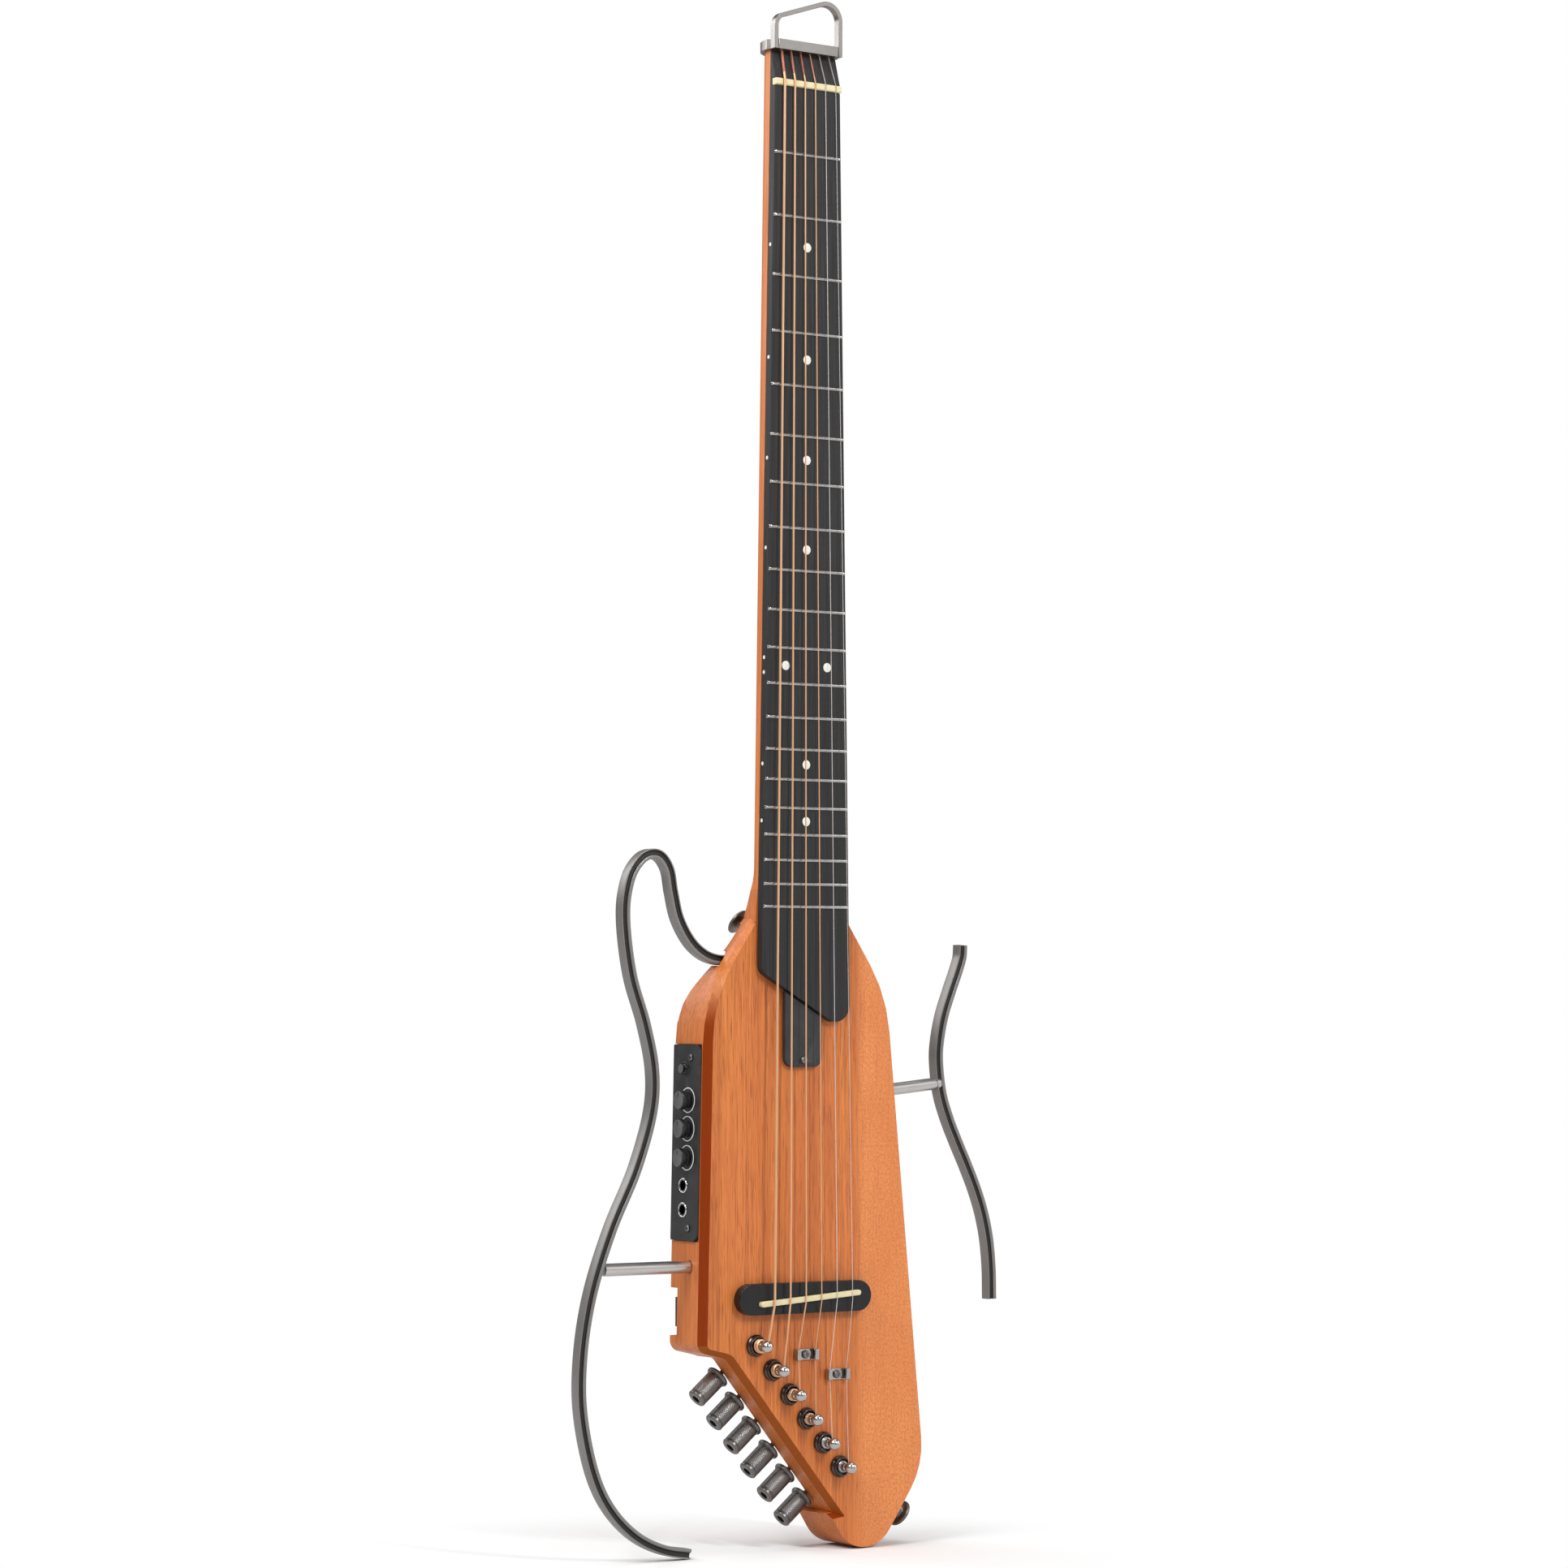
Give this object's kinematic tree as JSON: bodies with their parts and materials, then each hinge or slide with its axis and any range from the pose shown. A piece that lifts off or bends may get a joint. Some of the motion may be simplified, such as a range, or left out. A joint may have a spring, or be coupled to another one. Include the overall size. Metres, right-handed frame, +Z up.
{
  "type": "skeleton frame guitar",
  "caption": "Slim headless guitar with a long neck, tuners on a slanted tail edge, side controls and two bent metal frame arms that pull off on rods.",
  "frame": {"origin": "Highest point of the underside of the hanger loop, where the guitar hangs on a hook.", "axes": "Z runs up along the neck, X to the treble side, Y from the string side to the back."},
  "size_m": [0.2745, 0.0541, 0.8414],
  "materials": {
    "mahogany": "open grain, thin satin finish",
    "blackwood": "matte",
    "bone": "polished cream",
    "bracket_alloy": "brushed",
    "black_plastic": "fine matte",
    "gunmetal": "satin gunmetal plating",
    "smoked_chrome": "dark polished plating",
    "bright_steel": "polished",
    "steel": "bright",
    "bronze": "wound bronze",
    "circuit": "lacquered board",
    "cell": "plain sleeve"
  },
  "bodies": {
    "guitar": {"body": "mahogany", "neck": "mahogany", "truss_rod": "steel", "fretboard": "blackwood", "nut": "bone", "head_bracket": "bracket_alloy", "truss_rod_cover": "black_plastic", "cover_screw": "smoked_chrome", "bridge": "blackwood", "saddle": "bone", "saddle_pickup": "steel", "control_panel": "black_plastic", "panel_screw_upper": "smoked_chrome", "panel_screw_lower": "smoked_chrome", "headphone_jack": "smoked_chrome", "aux_jack": "smoked_chrome", "preamp_board": "circuit", "battery_holder": "black_plastic", "battery_cell_1": "cell", "battery_cell_2": "cell", "string_tree_1": "bright_steel", "string_tree_2": "bright_steel", "string_tree_screw_1": "smoked_chrome", "string_tree_screw_2": "smoked_chrome", "tuner_plate": "bright_steel", "tuner_ferrule_1": "gunmetal", "tuner_ferrule_2": "gunmetal", "tuner_ferrule_3": "gunmetal", "tuner_ferrule_4": "gunmetal", "tuner_ferrule_5": "gunmetal", "tuner_ferrule_6": "gunmetal", "string_1": "bronze", "string_2": "bronze", "string_3": "bronze", "string_4": "bronze", "string_5": "steel", "string_6": "steel", "strap_button": "smoked_chrome", "end_pin_jack": "smoked_chrome"},
    "left_frame": {"left_frame": "gunmetal", "left_rod": "gunmetal"},
    "right_frame": {"right_frame": "gunmetal", "right_rod": "gunmetal"},
    "battery_door": {"battery_door": "black_plastic"},
    "push_button": {"push_button": "black_plastic"},
    "control_knob_1": {"control_knob_1": "black_plastic"},
    "control_knob_2": {"control_knob_2": "black_plastic"},
    "control_knob_3": {"control_knob_3": "black_plastic"},
    "tuner_knob_1": {"tuner_knob_1": "smoked_chrome"},
    "tuner_post_1": {"tuner_post_1": "smoked_chrome"},
    "tuner_knob_2": {"tuner_knob_2": "smoked_chrome"},
    "tuner_post_2": {"tuner_post_2": "smoked_chrome"},
    "tuner_knob_3": {"tuner_knob_3": "smoked_chrome"},
    "tuner_post_3": {"tuner_post_3": "smoked_chrome"},
    "tuner_knob_4": {"tuner_knob_4": "smoked_chrome"},
    "tuner_post_4": {"tuner_post_4": "smoked_chrome"},
    "tuner_knob_5": {"tuner_knob_5": "smoked_chrome"},
    "tuner_post_5": {"tuner_post_5": "smoked_chrome"},
    "tuner_knob_6": {"tuner_knob_6": "smoked_chrome"},
    "tuner_post_6": {"tuner_post_6": "smoked_chrome"}
  },
  "joints": [
    {"name": "left_frame_slide", "type": "slide", "parent": "guitar", "child": "left_frame", "axis": [-1, 0, 0], "range_m": [0, 0.045]},
    {"name": "right_frame_slide", "type": "slide", "parent": "guitar", "child": "right_frame", "axis": [0.9952, 0, 0.0975], "range_m": [0, 0.045]},
    {"name": "battery_door_slide", "type": "slide", "parent": "guitar", "child": "battery_door", "axis": [-1, 0, 0], "range_m": [0, 0.045]},
    {"name": "push_button_press", "type": "slide", "parent": "guitar", "child": "push_button", "axis": [0.9998, 0, -0.0186], "range_m": [0, 0.0015], "stiffness_N_per_m": 600, "springref_m": -0.0005},
    {"name": "control_knob_1_turn", "type": "hinge", "parent": "guitar", "child": "control_knob_1", "pos_m": [-0.07309, 0.0199, -0.59596], "axis": [0.9998, 0, -0.0186], "range_deg": [-150, 150]},
    {"name": "control_knob_2_turn", "type": "hinge", "parent": "guitar", "child": "control_knob_2", "pos_m": [-0.07337, 0.0199, -0.61116], "axis": [0.9998, 0, -0.0186], "range_deg": [-150, 150]},
    {"name": "control_knob_3_turn", "type": "hinge", "parent": "guitar", "child": "control_knob_3", "pos_m": [-0.07366, 0.0199, -0.62664], "axis": [0.9998, 0, -0.0186], "range_deg": [-150, 150]},
    {"name": "tuner_knob_1_turn", "type": "hinge", "parent": "guitar", "child": "tuner_knob_1", "pos_m": [-0.03701, 0.0239, -0.73203], "axis": [-0.7738, 0, -0.6334], "continuous": true},
    {"name": "tuner_post_1_turn", "type": "hinge", "parent": "guitar", "child": "tuner_post_1", "pos_m": [-0.04131, -0.0011, -0.72677], "axis": [0, 1, 0], "continuous": true},
    {"name": "tuner_knob_2_turn", "type": "hinge", "parent": "guitar", "child": "tuner_knob_2", "pos_m": [-0.02602, 0.0239, -0.74545], "axis": [-0.7738, 0, -0.6334], "continuous": true},
    {"name": "tuner_post_2_turn", "type": "hinge", "parent": "guitar", "child": "tuner_post_2", "pos_m": [-0.03032, -0.0011, -0.74019], "axis": [0, 1, 0], "continuous": true},
    {"name": "tuner_knob_3_turn", "type": "hinge", "parent": "guitar", "child": "tuner_knob_3", "pos_m": [-0.01503, 0.0239, -0.75888], "axis": [-0.7738, 0, -0.6334], "continuous": true},
    {"name": "tuner_post_3_turn", "type": "hinge", "parent": "guitar", "child": "tuner_post_3", "pos_m": [-0.01933, -0.0011, -0.75362], "axis": [0, 1, 0], "continuous": true},
    {"name": "tuner_knob_4_turn", "type": "hinge", "parent": "guitar", "child": "tuner_knob_4", "pos_m": [-0.00404, 0.0239, -0.77231], "axis": [-0.7738, 0, -0.6334], "continuous": true},
    {"name": "tuner_post_4_turn", "type": "hinge", "parent": "guitar", "child": "tuner_post_4", "pos_m": [-0.00834, -0.0011, -0.76704], "axis": [0, 1, 0], "continuous": true},
    {"name": "tuner_knob_5_turn", "type": "hinge", "parent": "guitar", "child": "tuner_knob_5", "pos_m": [0.00695, 0.0239, -0.78573], "axis": [-0.7738, 0, -0.6334], "continuous": true},
    {"name": "tuner_post_5_turn", "type": "hinge", "parent": "guitar", "child": "tuner_post_5", "pos_m": [0.00265, -0.0011, -0.78047], "axis": [0, 1, 0], "continuous": true},
    {"name": "tuner_knob_6_turn", "type": "hinge", "parent": "guitar", "child": "tuner_knob_6", "pos_m": [0.01794, 0.0239, -0.79916], "axis": [-0.7738, 0, -0.6334], "continuous": true},
    {"name": "tuner_post_6_turn", "type": "hinge", "parent": "guitar", "child": "tuner_post_6", "pos_m": [0.01364, -0.0011, -0.7939], "axis": [0, 1, 0], "continuous": true}
  ],
  "couplings": [
    {"joint": "tuner_post_1_turn", "follows": "tuner_knob_1_turn", "ratio": 0.071429},
    {"joint": "tuner_post_2_turn", "follows": "tuner_knob_2_turn", "ratio": 0.071429},
    {"joint": "tuner_post_3_turn", "follows": "tuner_knob_3_turn", "ratio": 0.071429},
    {"joint": "tuner_post_4_turn", "follows": "tuner_knob_4_turn", "ratio": 0.071429},
    {"joint": "tuner_post_5_turn", "follows": "tuner_knob_5_turn", "ratio": 0.071429},
    {"joint": "tuner_post_6_turn", "follows": "tuner_knob_6_turn", "ratio": 0.071429}
  ]
}
